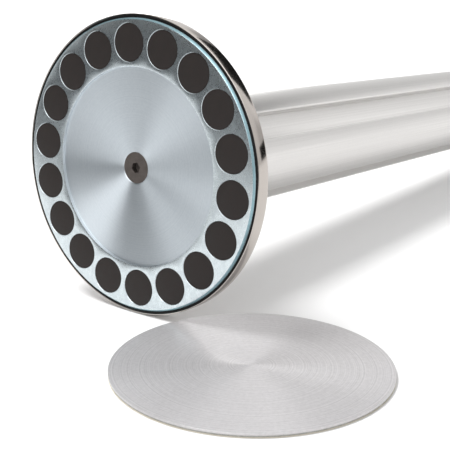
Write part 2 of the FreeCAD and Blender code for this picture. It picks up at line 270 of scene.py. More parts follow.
def plain_finish(name, tone, shade, metallic, rough, cloud, grain, bump, ior=1.5, coat=0.0, sheen=0.0):
    """A finish that varies by soft clouds of two colours and by a fine grain.

    tone and shade are the two colours, rough the roughness from smooth to dull spots,
    cloud and grain the sizes of the two patterns in millimetres, bump the grain's depth.
    """
    made, tree = blank(name)
    place = add(tree, "TexCoord").outputs["Object"]
    clouds = add(tree, "TexNoise", {"Vector": place, "Scale": each(cloud), "Detail": 4.0}).outputs[0]
    fine = add(tree, "TexNoise", {"Vector": place, "Scale": each(grain), "Detail": 2.0}).outputs[0]
    both = add(tree, "Math", {0: clouds, 1: fine}, operation="ADD").outputs[0]
    share = add(tree, "MapRange", {"Value": both, "From Min": 0.75, "From Max": 1.25}).outputs[0]
    colour = add(tree, "Mix", {0: share, 6: linear(tone), 7: linear(shade)}, data_type="RGBA").outputs[2]
    dull = add(tree, "MapRange", {"Value": both, "From Min": 0.75, "From Max": 1.25,
                                  "To Min": rough[0], "To Max": rough[1]}).outputs[0]
    raised = add(tree, "Bump", {"Height": fine, "Strength": 1.0, "Distance": bump * MM}).outputs[0]
    shader = add(tree, "BsdfPrincipled", {
        "Base Color": colour, "Metallic": metallic, "Roughness": dull, "Normal": raised, "IOR": ior,
        "Coat Weight": coat, "Coat Roughness": 0.2, "Sheen Weight": sheen})
    add(tree, "OutputMaterial", {"Surface": shader.outputs[0]})
    return made


def ringed_metal(name, tone, shade, metallic, rough, spread, pitch, grain, depth):
    """Metal cut or brushed in rings about its middle, which draws light out into rays.

    spread is how far the rings draw the light out, pitch the rings' spacing, grain the
    size of the short scratches across them, and depth how deep the rings are.
    """
    made, tree = blank(name)
    place = add(tree, "TexCoord").outputs["Object"]
    flat = add(tree, "VectorMath", {0: place, 1: (1.0, 1.0, 0.0)}, operation="MULTIPLY").outputs[0]
    radius = add(tree, "VectorMath", {0: flat}, operation="LENGTH").outputs["Value"]
    rings = add(tree, "TexNoise", {"W": radius, "Scale": each(pitch), "Detail": 3.0},
                noise_dimensions="1D").outputs[0]
    clouds = add(tree, "TexNoise", {"Vector": place, "Scale": each(grain), "Detail": 5.0,
                                    "Roughness": 0.7}).outputs[0]
    both = add(tree, "Math", {0: rings, 1: clouds}, operation="ADD").outputs[0]
    share = add(tree, "MapRange", {"Value": both, "From Min": 0.7, "From Max": 1.3}).outputs[0]
    colour = add(tree, "Mix", {0: share, 6: linear(tone), 7: linear(shade)}, data_type="RGBA").outputs[2]
    dull = add(tree, "MapRange", {"Value": both, "From Min": 0.7, "From Max": 1.3,
                                  "To Min": rough[0], "To Max": rough[1]}).outputs[0]
    raised = add(tree, "Bump", {"Height": both, "Strength": 1.0, "Distance": depth * MM}).outputs[0]
    way = add(tree, "Tangent", direction_type="RADIAL", axis="Z").outputs[0]
    shader = add(tree, "BsdfPrincipled", {
        "Base Color": colour, "Metallic": metallic, "Roughness": dull, "Normal": raised,
        "Anisotropic": spread, "Anisotropic Rotation": 0.25, "Tangent": way})
    add(tree, "OutputMaterial", {"Surface": shader.outputs[0]})
    return made


def anodised_tube():
    """Extruded aluminium, etched and clear anodised: satin, with faint die lines along it."""
    made, tree = blank("anodised_aluminium_extruded")
    place = add(tree, "TexCoord").outputs["Object"]
    # die lines a few tenths of a millimetre apart, drawn 0.9 mm apart so that they show
    drawn = add(tree, "VectorMath", {0: place, 1: (1.0, 1.0, 0.004)}, operation="MULTIPLY").outputs[0]
    lines = add(tree, "TexNoise", {"Vector": drawn, "Scale": each(0.9), "Detail": 3.0}).outputs[0]
    grain = add(tree, "TexNoise", {"Vector": place, "Scale": each(0.35), "Detail": 2.0}).outputs[0]
    both = add(tree, "Math", {0: lines, 1: grain}, operation="ADD").outputs[0]
    share = add(tree, "MapRange", {"Value": both, "From Min": 0.7, "From Max": 1.3}).outputs[0]
    colour = add(tree, "Mix", {0: share, 6: linear("#D8D6D4"), 7: linear("#CECCCA")},
                 data_type="RGBA").outputs[2]
    dull = add(tree, "MapRange", {"Value": both, "From Min": 0.7, "From Max": 1.3,
                                  "To Min": 0.34, "To Max": 0.44}).outputs[0]
    raised = add(tree, "Bump", {"Height": both, "Strength": 1.0, "Distance": 0.004 * MM}).outputs[0]
    way = add(tree, "Tangent", direction_type="RADIAL", axis="Z").outputs[0]
    shader = add(tree, "BsdfPrincipled", {
        "Base Color": colour, "Metallic": 1.0, "Roughness": dull, "Normal": raised,
        "Anisotropic": 0.35, "Tangent": way})
    add(tree, "OutputMaterial", {"Surface": shader.outputs[0]})
    return made


def polished_steel():
    """Stainless steel, spun and mirror polished: sharp reflections with faint wiping marks."""
    made, tree = blank("polished_stainless_steel")
    place = add(tree, "TexCoord").outputs["Object"]
    smears = add(tree, "TexNoise", {"Vector": place, "Scale": each(30.0), "Detail": 6.0,
                                    "Roughness": 0.7}).outputs[0]
    dull = add(tree, "MapRange", {"Value": smears, "From Min": 0.35, "From Max": 0.7,
                                  "To Min": 0.1, "To Max": 0.17}).outputs[0]
    colour = add(tree, "Mix", {0: smears, 6: linear("#BDB6B0"), 7: linear("#B1ABA6")},
                 data_type="RGBA").outputs[2]
    shader = add(tree, "BsdfPrincipled", {
        "Base Color": colour, "Metallic": 1.0, "Roughness": dull})
    add(tree, "OutputMaterial", {"Surface": shader.outputs[0]})
    return made


def belt_webbing():
    """Black polyester, woven: fine ribs along the belt crossed by finer weft, with a soft sheen."""
    made, tree = blank("polyester_webbing_woven")
    place = add(tree, "TexCoord").outputs["Object"]
    # warp ribs 1.6 mm apart across the width, weft threads 0.8 mm apart along the length
    ribs = add(tree, "TexWave", {"Vector": place, "Scale": each(1.6) / 20, "Distortion": 0.0},
               wave_type="BANDS", bands_direction="Z", wave_profile="SIN").outputs[0]
    weft = add(tree, "TexWave", {"Vector": place, "Scale": each(0.8) / 20, "Distortion": 0.0},
               wave_type="BANDS", bands_direction="X", wave_profile="SIN").outputs[0]
    weave = add(tree, "Math", {0: ribs, 1: weft}, operation="MULTIPLY").outputs[0]
    fuzz = add(tree, "TexNoise", {"Vector": place, "Scale": each(0.4), "Detail": 3.0}).outputs[0]
    both = add(tree, "Math", {0: weave, 1: fuzz}, operation="ADD").outputs[0]
    share = add(tree, "MapRange", {"Value": both, "From Min": 0.3, "From Max": 1.5}).outputs[0]
    colour = add(tree, "Mix", {0: share, 6: linear("#17171A"), 7: linear("#34343A")},
                 data_type="RGBA").outputs[2]
    raised = add(tree, "Bump", {"Height": both, "Strength": 1.0, "Distance": 0.12 * MM}).outputs[0]
    shader = add(tree, "BsdfPrincipled", {
        "Base Color": colour, "Roughness": 0.8, "Normal": raised, "Sheen Weight": 0.3})
    add(tree, "OutputMaterial", {"Surface": shader.outputs[0]})
    return made


# ---------------------------------------------------------------- finishes
# Steel ground flat, zinc plated and passivated: cold pale grey, soft and even, with fine grit marks.
ZINC = plain_finish("zinc_plated_steel_ground", "#D6DFE2", "#C8D1D5", 1.0, (0.25, 0.31), 3.0, 0.45, 0.02)
# The same plating on the bevelled edge, painted darker and bluer: a painted shade that stands for the dark
# reflection along the bevel.
ZINC_EDGE_PAINTED_SHADE = plain_finish("zinc_plated_steel_bevel_painted_shade", "#93B0B8", "#86A2AA", 1.0, (0.3, 0.36),
                         3.0, 0.45, 0.01)
# The same plating over a lathe-turned floor: rings that draw light out into rays from the middle.
TURNED = ringed_metal("zinc_plated_steel_turned", "#D2D9DE", "#C8D0D6", 1.0, (0.34, 0.42),
                      0.93, 0.5, 1.2, 0.002)
# Sintered strontium ferrite, ground on its faces: dull brown-black with faint mottling.
FERRITE = plain_finish("ferrite_sintered_ground", "#1B1614", "#241D1B", 0.0, (0.55, 0.7),
                       4.0, 0.5, 0.02, ior=1.4)
# Moulded EPDM rubber: dull, almost black, a little grey where it has rubbed.
RUBBER = plain_finish("rubber_moulded", "#040405", "#0A0A0B", 0.0, (0.5, 0.7), 6.0, 0.4, 0.02, ior=1.3)
POLISHED = polished_steel()
# High-tensile steel, blackened in hot oxide: brown-black with a thin oily gloss.
BLACKENED = plain_finish("black_oxide_steel_rolled", "#4C4643", "#5D5652", 0.6, (0.38, 0.52), 3.0, 0.35, 0.02)
# Free-cutting steel, turned and left bright: clean grey.
BRIGHT = plain_finish("bright_steel_turned", "#B9BABC", "#A4A5A8", 1.0, (0.25, 0.4), 8.0, 0.6, 0.006)
# Die-cast aluminium, tumbled: pale and softly uneven.
CAST = plain_finish("cast_aluminium_tumbled", "#B4B6B8", "#9DA0A3", 1.0, (0.45, 0.6), 5.0, 0.8, 0.03)
ANODISED = anodised_tube()
# ABS, injection moulded in a spark-eroded mould: black, evenly grained and satin.
BLACK_ABS = plain_finish("abs_moulded_grained", "#141416", "#1E1E21", 0.0, (0.42, 0.56), 12.0, 0.5, 0.03)
# Acetal, injection moulded: milky white and waxy.
ACETAL = plain_finish("acetal_moulded", "#E3E1DA", "#D6D3CB", 0.0, (0.35, 0.45), 10.0, 0.6, 0.006, coat=0.1)
# Glass-filled nylon, injection moulded: charcoal with a matt, slightly stony grain.
NYLON = plain_finish("nylon_moulded_grained", "#1B1B1F", "#27272C", 0.0, (0.5, 0.62), 8.0, 0.4, 0.03)
# Wool felt, pressed: grey, fibrous and soft.
FELT = plain_finish("wool_felt_pressed", "#8C8C8A", "#6E6E6C", 0.0, (0.9, 1.0), 1.5, 0.3, 0.15, sheen=0.5)
# Spring steel strip, tempered blue: dark, with a clean gloss.
SPRING = plain_finish("spring_steel_blued", "#4C5570", "#5D6370", 1.0, (0.22, 0.34), 6.0, 0.5, 0.005)
# Silicone-coated kraft paper: cream, smooth and slightly cloudy.
LINER = plain_finish("liner_paper_coated", "#DCD6C8", "#CFC8B8", 0.0, (0.45, 0.6), 7.0, 0.5, 0.01)
# Closed-cell polyethylene foam tape: light grey with fine cells at its cut edge.
FOAM = plain_finish("polyethylene_foam_cut", "#B9B8B4", "#9D9C98", 0.0, (0.7, 0.9), 2.0, 0.35, 0.08)
# Ferritic stainless sheet, brushed on a turntable: even grey with fine rings and light rays.
BRUSHED = ringed_metal("stainless_steel_brushed", "#CFCDCE", "#BAB8B9", 0.45, (0.36, 0.46),
                       0.9, 0.7, 1.4, 0.008)
WEBBING = belt_webbing()


# ---------------------------------------------------------------- base
MAGNETS = ["magnet_%02d" % number for number in range(1, 19)]
RECESS_R = 51.0
RECESS_DEPTH = 1.6
SINK_R = 8.2
SINK_LIP_R = 8.7
BORE_R = 4.2
POCKET_R = 9.55
POCKET_LIP_R = 9.75
POCKET_DEPTH = 5.0
SEAL_INNER_R = 74.95
SEAL_BACK = 3.0
COVER_SEAT_R = 75.05
COVER_LIP_R = 76.15
COVER_WALL_END = 9.5
COVER_ROUND = 1.6
COVER_CONE_R = 36.0
COVER_HOLE_R = 32.1
COVER_INSIDE = [(34.0, 11.5), (COVER_SEAT_R, 8.0)]
BOLT_HEAD_T = 4.0
BOLT_SHANK_R = 3.95
BOLT_FLATS = 5.0
BOLT_SOCKET = 3.2
BIG_RING = 192
SMALL_RING = 56


def magnet_face():
    """Steel disc with a bevelled edge, a pocket for each magnet and a turned recess."""
    high = span("magnet_carrier")[1]
    edge, back = high.x, high.z
    bm = bmesh.new()
    turned(bm, [
        (edge - 1.15, 0.0), (edge - 1.0, 0.04), (edge - 0.05, 0.95), (edge, 1.05), (edge, back - 0.3),
        (edge - 0.3, back), (BORE_R, back), (BORE_R, RECESS_DEPTH + SINK_R - BORE_R),
        (SINK_R, RECESS_DEPTH + 0.2), (SINK_LIP_R, RECESS_DEPTH), (RECESS_R - 0.35, RECESS_DEPTH),
        (RECESS_R - 0.1, RECESS_DEPTH - 0.1), (RECESS_R, RECESS_DEPTH - 0.35), (RECESS_R, 0.3),
        (RECESS_R + 0.1, 0.08), (RECESS_R + 0.3, 0.0)], BIG_RING)
    for name in MAGNETS:
        first, last = span(name)
        middle = (first + last) / 2
        turned(bm, [(POCKET_LIP_R, 0.0), (POCKET_R, 0.2), (POCKET_R, POCKET_DEPTH), (0.0, POCKET_DEPTH)],
               SMALL_RING, middle.x, middle.y)
    fill_open(bm)
    made = to_object("magnet_face_plate", bm)
    for face in made.data.polygons:
        centre = face.center / MM
        inside = math.hypot(centre.x, centre.y) < RECESS_R + 0.05
        # faces on the front bevel take the plating painted darker and bluer, a painted shade
        bevelled = math.hypot(centre.x, centre.y) > edge - 1.05 and centre.z < 1.0
        in_recess = inside and 0.15 < centre.z < back - 0.1
        face.material_index = 1 if in_recess else 2 if bevelled else 0
    return made


def magnet_disc(node):
    """One magnet, its edge broken."""
    low, high = span(node)
    middle = (low + high) / 2
    r = (high.x - low.x) / 2
    bm = bmesh.new()
    turned(bm, [(0.0, low.z), (r - 0.45, low.z), (r - 0.12, low.z + 0.08), (r, low.z + 0.3),
                (r, high.z - 0.3), (r - 0.3, high.z), (0.0, high.z)], SMALL_RING)
    return to_object(node + "_disc", bm), POST @ Matrix.Translation((middle.x * MM, middle.y * MM, 0.0))


def seal_ring():
    """Rubber ring with a rounded front corner."""
    low, high = span("edge_seal")
    inner, outer = SEAL_INNER_R, high.x
    bm = bmesh.new()
    turned(bm, [(inner, low.z + 0.4), (inner + 0.15, low.z + 0.1), (inner + 0.5, low.z),
                (outer - 0.3, low.z + 0.05), (outer, low.z + 0.3), (outer, high.z), (inner, high.z)],
           BIG_RING, closed=True)
    return to_object("rubber_edge_ring", bm)


def cover_shell():
    """Spun shell: front lip round the seal, low wall, rounded back edge and shallow cone."""
    low, high = span("base_cover")
    edge, front, top = high.x, low.z, high.z
    lip_r, hole_r = COVER_LIP_R, COVER_HOLE_R
    lip = [(COVER_SEAT_R, SEAL_BACK), (lip_r, SEAL_BACK), (lip_r, front + 0.12), (lip_r + 0.12, front),
           (edge - 0.34, front), (edge - 0.1, front + 0.1), (edge, front + 0.34)]
    corner = arc(edge - COVER_ROUND, COVER_WALL_END - COVER_ROUND, COVER_ROUND, 0.0, 85.0, 8)
    cone = [(COVER_CONE_R + 1.0, top - 0.12), (COVER_CONE_R - 0.6, top)]
    hole = [(hole_r + 0.2, top), (hole_r, top - 0.2), (hole_r, COVER_INSIDE[0][1])]
    bm = bmesh.new()
    turned(bm, lip + corner + cone + hole + COVER_INSIDE, BIG_RING, closed=True)
    return to_object("polished_base_cover", bm)


def socket_screw(bm, x, y, front, way, head_r, head_t, shank_r, end, flats, depth, sunk):
    """A screw with a hexagon socket; way is 1 if it points up the post, or -1 down it.

    head_t is the head's thickness, flats the socket's width across its flats, depth how
    deep the socket is, and sunk is true for a countersunk head.
    """
    under = front + way * head_t
    rim = [(head_r - 0.25, front), (head_r, front + way * 0.2)]
    cone = [(shank_r, under)] if sunk else [(head_r, under), (shank_r, under)]
    tip = [(shank_r, end - way * 0.6), (shank_r - 0.6, end), (0.0, end)]
    turned(bm, rim + cone + tip, SMALL_RING, x, y)
    corner = flats / math.sqrt(3)
    mouth = ring(bm, corner + 0.18, front, 6, x, y, 0.3)
    lip = ring(bm, corner, front + way * 0.15, 6, x, y, 0.3)
    floor = ring(bm, corner, front + way * depth, 6, x, y, 0.3)
    point = ring(bm, 0.0, front + way * (depth + 0.8), 6, x, y)
    for first, second in ((mouth, lip), (lip, floor), (floor, point)):
        bridge(bm, first, second)
    fill_open(bm)


def base_bolt():
    """The countersunk screw in the middle of the face."""
    low, high = span("base_screw")
    bm = bmesh.new()
    socket_screw(bm, 0.0, 0.0, low.z, 1, high.x, BOLT_HEAD_T, BOLT_SHANK_R, high.z,
                 BOLT_FLATS, BOLT_SOCKET, True)
    return to_object("countersunk_bolt", bm)


SCREW_HEAD_R = 2.8
SCREW_HEAD_T = 2.0
SCREW_SHANK_R = 1.2
SCREW_FLATS = 2.5
SCREW_SOCKET = 1.3


def corner_screws(node, name, way):
    """The four screws in the head's corners."""
    low, high = span(node)
    front, end = (low.z, high.z) if way == 1 else (high.z, low.z)
    at = high.x - SCREW_HEAD_R
    bm = bmesh.new()
    for x in (-at, at):
        for y in (-at, at):
            socket_screw(bm, x, y, front, way, SCREW_HEAD_R, SCREW_HEAD_T, SCREW_SHANK_R, end,
                         SCREW_FLATS, SCREW_SOCKET, False)
    return to_object(name, bm)


# ---------------------------------------------------------------- tube
TUBE_INNER_R = 29.6
SLOT_PHASE = 55.4
SLOT_HALF = 7.8
SLOT_FLOOR_R = 25.4
SLOT_WALL = 1.8
SLOT_LIP = 0.6
FLOOR_ROUND = 0.4


def slotted_tube():
    """The extruded tube: round outside, four slots with rounded lips, ribs inside."""
    low, high = span("post_tube")
    outer_r = high.x
    lip_y = SLOT_HALF + SLOT_LIP
    lip_x = math.sqrt(outer_r ** 2 - lip_y ** 2) - SLOT_LIP
    half_lip = math.degrees(math.asin(lip_y / outer_r))
    slot = arc(lip_x, -lip_y, SLOT_LIP, 0.0, 90.0, 4)
    slot += arc(SLOT_FLOOR_R + FLOOR_ROUND, FLOOR_ROUND - SLOT_HALF, FLOOR_ROUND, -90.0, -180.0, 2)
    slot += arc(SLOT_FLOOR_R + FLOOR_ROUND, SLOT_HALF - FLOOR_ROUND, FLOOR_ROUND, 180.0, 90.0, 2)
    slot += arc(lip_x, lip_y, SLOT_LIP, -90.0, 0.0, 4)
    half = SLOT_HALF + SLOT_WALL
    rib_x = math.sqrt(TUBE_INNER_R ** 2 - half ** 2)
    rib_floor = SLOT_FLOOR_R - SLOT_WALL
    rib = [(rib_x, -half), (rib_floor, -half), (rib_floor, half), (rib_x, half)]
    half_rib = math.degrees(math.asin(half / TUBE_INNER_R))
    outside, inside = [], []
    for quarter in range(4):
        angle = SLOT_PHASE + 90.0 * quarter
        outside += turn_outline(slot, angle)
        outside += arc(0.0, 0.0, outer_r, angle + half_lip + 2.0, angle + 88.0 - half_lip, 16)
        inside += turn_outline(rib, angle)
        inside += arc(0.0, 0.0, TUBE_INNER_R, angle + half_rib + 2.0, angle + 88.0 - half_rib, 12)
    bm = bmesh.new()
    for outline in (outside, inside):
        ends = [[bm.verts.new((x * MM, y * MM, z * MM)) for x, y in outline] for z in (low.z, high.z)]
        bridge(bm, ends[0], ends[1])
    for z in (low.z, high.z):
        edges = [e for e in bm.edges if len(e.link_faces) == 1
                 and all(abs(v.co.z - z * MM) < 1e-6 for v in e.verts)]
        bmesh.ops.triangle_fill(bm, use_beauty=True, use_dissolve=False, edges=edges)
    return to_object("slotted_tube", bm)


# ---------------------------------------------------------------- head
def prism_mesh(*bars):
    """A mesh of bars along z, each given as an outline and two heights."""
    bm = bmesh.new()
    for outline, z0, z1 in bars:
        prism(bm, outline, z0, z1)
    return bm


CORNERS = [(x, y) for x in (-25.5, 25.5) for y in (-25.5, 25.5)]
HEAD_CORNER = 14.0
HEAD_WALL = 3.0
WINDOW_HALF = 12.0
WINDOW_START = 912.5
WINDOW_BACK = 27.0
WINDOW_FACE = 33.3
HEAD_FLOOR = 908.0
HEAD_FLOOR_TOP = 911.0
CHANNEL_START = 914.5
CHANNEL_END = 993.0
PLUG_R = 23.2
SCREW_WAY_R = 3.1
SCREW_WAY_DEPTH = 3.0
ROD_WAY_R = 5.1
BOSS_R = 4.0
BOSS_SHY = 0.1
MOUTH_END = 970.5
LID_HUB_R = 6.0
SPINDLE_WAY_R = 3.02
SPINDLE_WAY_END = 984.5
SLIT_ENDS = (916.5, 967.5)
PIN_WAY_ENDS = (915.5, 968.5)
PIN_WAY_R = 1.45
PIN_X = 38.0
# Room left between two neighbours, and how far a cutting shape reaches past what it cuts.
GAP = 0.05
OVER = 1.0


def channel(angle):
    """The T-shaped way that a belt end slides down."""
    wide = turn_outline(box_outline(28.5, 31.5, -9.3, 9.3), angle)
    neck = turn_outline(box_outline(31.4, 36.0, -6.5, 6.5), angle)
    return [prism_mesh((part, CHANNEL_START, CHANNEL_END)) for part in (wide, neck)]


def head_plate():
    """Plate under the head, with the plug that centres it in the tube."""
    low, high = span("head_base")
    start = span("post_tube")[1].z
    made = to_object("head_foot_plate", prism_mesh((rounded_square(high.x, HEAD_CORNER), start, high.z)))
    plug = prism_mesh((circle_outline(PLUG_R, 64), low.z, start + OVER))
    carve(made, [plug], "UNION")
    ways = [prism_mesh((circle_outline(SCREW_WAY_R, 32, x, y), start - OVER, start + SCREW_WAY_DEPTH))
            for x, y in CORNERS]
    carve(made, ways + [prism_mesh((circle_outline(ROD_WAY_R, 32), low.z - OVER, high.z + OVER))])
    return soften(made, 0.5)


def housing_case():
    """Case of the head, with a window in each face and a boss in each corner."""
    low, high = span("head_housing")
    half = high.x
    made = to_object("head_case", prism_mesh((rounded_square(half, HEAD_CORNER), low.z, high.z)))
    hollow = rounded_square(half - HEAD_WALL, HEAD_CORNER - HEAD_WALL)
    cuts = [prism_mesh((hollow, low.z - OVER, HEAD_FLOOR)),
            prism_mesh((hollow, HEAD_FLOOR_TOP, high.z + OVER))]
    opening = box_outline(WINDOW_BACK, half + OVER, -WINDOW_HALF, WINDOW_HALF)
    for quarter in range(4):
        window = turn_outline(opening, 90.0 * quarter)
        cuts.append(prism_mesh((window, WINDOW_START, high.z + OVER)))
    carve(made, cuts)
    bosses = [prism_mesh((circle_outline(BOSS_R, 32, x, y), low.z + BOSS_SHY, high.z - BOSS_SHY))
              for x, y in CORNERS]
    carve(made, bosses, "UNION")
    return soften(made, 0.45)


def window_block(node):
    """The block that fills a window of the case."""
    half = WINDOW_HALF - GAP
    low, high = span(node)
    return box_outline(WINDOW_BACK, WINDOW_FACE, -half, half), low.z, high.z


def receiver_block(node, name, angle):
    """Socket for another post's belt end."""
    outline, start, end = window_block(node)
    made = to_object(name, prism_mesh((turn_outline(outline, angle), start, end)))
    carve(made, channel(angle))
    return soften(made, 0.4)


def outlet_block():
    """Mouthpiece that the belt comes out of."""
    outline, start, end = window_block("belt_outlet")
    made = to_object("belt_mouth", prism_mesh((outline, start, end)))
    mouth = [(26.0, -1.5), (34.5, -1.5), (33.5, 1.5), (26.0, 10.0)]
    carve(made, [prism_mesh((mouth, CHANNEL_START, MOUTH_END))])
    return soften(made, 0.4)


def lid():
    """Lid of the head, notched over the receivers, its edge rounded, with a hub for the spindle."""
    low, high = span("top_cap")
    start = span("head_housing")[1].z
    made = to_object("head_lid", prism_mesh((rounded_square(high.x, HEAD_CORNER), start, high.z)))
    cuts = [prism_mesh((circle_outline(SCREW_WAY_R, 32, x, y), high.z - SCREW_WAY_DEPTH, high.z + OVER))
            for x, y in CORNERS]
    for angle in (90.0, 180.0, 270.0):
        cuts += channel(angle)
    soften(made, 1.2, segments=4)
    carve(made, cuts)
    carve(made, [prism_mesh((circle_outline(LID_HUB_R, 40), low.z, start + OVER))], "UNION")
    carve(made, [prism_mesh((circle_outline(SPINDLE_WAY_R, 32), low.z - OVER, SPINDLE_WAY_END))])
    return soften(made, 0.35, angle=50.0)


def clip():
    """T-shaped belt end, moulded over the belt's pin."""
    low, high = span("belt_clip")
    bars = [box_outline(34.0, 36.6, -12.0, 12.0), box_outline(36.5, 39.0, -6.0, 6.0),
            box_outline(38.9, 41.5, -9.0, 9.0)]
    made = to_object("belt_end_clip", prism_mesh((bars[0], low.z, high.z)))
    carve(made, [prism_mesh((bar, low.z, high.z)) for bar in bars[1:]], "UNION")
    slit = box_outline(33.0, PIN_X, -0.6, 0.6)
    pin_way = circle_outline(PIN_WAY_R, 32, PIN_X)
    carve(made, [prism_mesh((slit, *SLIT_ENDS)), prism_mesh((pin_way, *PIN_WAY_ENDS))])
    return soften(made, 0.5, segments=3)


# ---------------------------------------------------------------- belt and springs
def strip_along(bm, path, thick, z0, z1):
    """A flat strip standing on its edge along a path."""
    rows = []
    for i, (x, y) in enumerate(path):
        before = path[max(i - 1, 0)]
        after = path[min(i + 1, len(path) - 1)]
        dx, dy = after[0] - before[0], after[1] - before[1]
        size = math.hypot(dx, dy)
        ox, oy = -dy / size * thick / 2, dx / size * thick / 2
        spots = [(x + ox, y + oy, z0), (x + ox, y + oy, z1), (x - ox, y - oy, z1), (x - ox, y - oy, z0)]
        rows.append([bm.verts.new([value * MM for value in spot]) for spot in spots])
    for first, second in zip(rows, rows[1:]):
        bridge(bm, first, second)
    bm.faces.new(rows[0])
    bm.faces.new(rows[-1])


def spiral(inner, outer, pitch, steps):
    """Points of a flat spiral."""
    turns = (outer - inner) / pitch
    count = int(turns * steps)
    path = []
    for i in range(count + 1):
        share = i / count
        r = inner + (outer - inner) * share
        a = 2 * math.pi * turns * share
        path.append((r * math.cos(a), r * math.sin(a)))
    return path


# Each strip is thinner than its pitch, so that its turns show.
ROLL_INNER_R = 9.3
ROLL_PITCH = 0.5
ROLL_THICK = 0.42
SPRING_INNER_R = 13.1
SPRING_PITCH = 0.6
SPRING_THICK = 0.16
TURN_STEPS = 40
STRAP_THICK = 0.5
# Where the free belt leaves the roll, meets the mouth and ends in the clip; between
# BLEND_START and BLEND_END it goes over from the post to the clip.
LEAVE_R = 21.7
AIM_X = 32.6
BEND_X = 32.4
MOUTH_X = 32.7
STRAP_END_X = 36.5
BEND_STEPS = 8
STRAP_STEPS = 60


def wound_belt():
    """The belt on its spool, turn on turn."""
    low, high = span("belt_roll")
    bm = bmesh.new()
    path = spiral(ROLL_INNER_R, high.x - ROLL_PITCH / 2, ROLL_PITCH, TURN_STEPS)
    strip_along(bm, path, ROLL_THICK, low.z, high.z)
    return to_object("wound_belt", bm)


def coiled_spring():
    """The coiled strip that winds the belt back."""
    low, high = span("return_spring")
    bm = bmesh.new()
    path = spiral(SPRING_INNER_R, high.x - 0.1, SPRING_PITCH, TURN_STEPS)
    strip_along(bm, path, SPRING_THICK, low.z, high.z)
    return to_object("coiled_return_spring", bm)


def strap():
    """The free belt, from the roll through the mouth and into the clip."""
    low, high = span("belt_strap")
    leave = math.acos(LEAVE_R / AIM_X)
    x0, y0 = LEAVE_R * math.cos(leave), LEAVE_R * math.sin(leave)
    path = [(x0 + (BEND_X - x0) * i / BEND_STEPS, y0 * (1 - i / BEND_STEPS)) for i in range(BEND_STEPS + 1)]
    path += [(MOUTH_X + (STRAP_END_X - MOUTH_X) * i / STRAP_STEPS, 0.0) for i in range(STRAP_STEPS + 1)]
    bm = bmesh.new()
    strip_along(bm, path, STRAP_THICK, low.z, high.z)
    return to_object("belt_free_length", bm)


# ---------------------------------------------------------------- floor plate
def flat_disc(name, node, edge):
    """A thin round sheet with its corners broken by the given amount."""
    low, high = span(node, AS_BUILT)
    r = high.x
    bm = bmesh.new()
    turned(bm, [(0.0, high.z), (r - 3 * edge, high.z), (r - edge, high.z - 0.2 * edge), (r, high.z - edge),
                (r, low.z + 0.5 * edge), (r - 0.5 * edge, low.z), (0.0, low.z)], BIG_RING)
    return to_object(name, bm)


# ---------------------------------------------------------------- put together
settle(magnet_face(), [ZINC, TURNED, ZINC_EDGE_PAINTED_SHADE], "post", ["magnet_carrier"])
for magnet in MAGNETS:
    disc, place = magnet_disc(magnet)
    settle(disc, [FERRITE], "post", [magnet], place)
settle(seal_ring(), [RUBBER], "post", ["edge_seal"])
settle(cover_shell(), [POLISHED], "post", ["base_cover"])
settle(base_bolt(), [BLACKENED], "post", ["base_screw"])
settle(slotted_tube(), [ANODISED], "post", ["post_tube"])
settle(head_plate(), [BLACK_ABS], "post", ["head_base"])
settle(housing_case(), [BLACK_ABS], "post", ["head_housing"])
settle(outlet_block(), [BLACK_ABS], "post", ["belt_outlet"])
settle(lid(), [BLACK_ABS], "post", ["top_cap"])
for node, angle in (("receiver_left", 90.0), ("receiver_back", 180.0), ("receiver_right", 270.0)):
    settle(receiver_block(node, node + "_block", angle), [BLACK_ABS], "post", [node])
settle(corner_screws("housing_screws", "case_screws", 1), [BLACKENED], "post",
       ["housing_screws"])
settle(corner_screws("cap_screws", "lid_screws", -1), [BLACKENED], "post",
       ["cap_screws"])
settle(coiled_spring(), [SPRING], "post", ["return_spring"])
settle(wound_belt(), [WEBBING], "spool", ["belt_roll"])
settle(clip(), [NYLON], "belt_end", ["belt_clip"])
settle(flat_disc("floor_plate_disc", "plate_disc", 0.16), [BRUSHED], "floor_plate",
       ["plate_disc"], AS_BUILT)
settle(flat_disc("foam_pad", "adhesive_pad", 0.1), [FOAM], "floor_plate",
       ["adhesive_pad"], AS_BUILT)
settle(flat_disc("paper_liner", "release_liner", 0.04), [LINER], "liner",
       ["release_liner"], AS_BUILT)

free_belt = strap()
free_belt.data.materials.append(WEBBING)
free_belt.matrix_world = POST
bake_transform(free_belt)
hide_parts("belt_strap")

# Pieces that keep their CAD shape and only take a finish.
CARRIED = {"locating_pins": BRIGHT, "tube_socket": CAST, "tie_rod": BRIGHT, "tie_nut": BRIGHT,
           "spindle": BRIGHT, "belt_spool": ACETAL, "felt_washer": FELT, "spring_cup": BRIGHT,
           "clip_pin": BRIGHT}
for node, finish in CARRIED.items():
    mesh = frame["nodes"][node].data
    mesh.materials.clear()
    mesh.materials.append(finish)


# ---------------------------------------------------------------- floor, light and camera
# Lengths in this section are metres and angles degrees.
FLOOR_SIZE = 40.0
FLOOR_DROP = 0.0002
# In reflections alone the pale floor is painted dark toward DARK_REFLECTION_SIDE, between these distances: a
# painted dark reflection, though the floor stays pale there.
DARK_REFLECTION_SIDE = (-0.9, 0.43, 0.0)
DARK_REFLECTION_ENDS = (0.34, 0.6)
# Patches in the sky: turn, rise, half width, soft edge, brightness.
CARDS = [
    (138.0, 14.0, 26.0, 26.0, 0.1),
    (181.0, 36.0, 16.0, 12.0, 3.4),
    (112.0, 5.0, 8.0, 8.0, 1.1),
    (42.0, 10.0, 6.0, 5.0, 5.0),
    (-32.0, 8.0, 8.0, 8.0, 0.7),
    (10.0, 30.0, 8.0, 9.0, 0.5),
    (-22.0, 27.0, 8.0, 8.0, 1.15),
    (-7.0, 26.0, 4.0, 4.0, 1.9)]
# Brightness of the sky up to level and from SKY_HEIGHT up, a height being a direction's z.
SKY_LEVEL = 0.8
SKY_TOP = 1.25
SKY_HEIGHT = 0.8
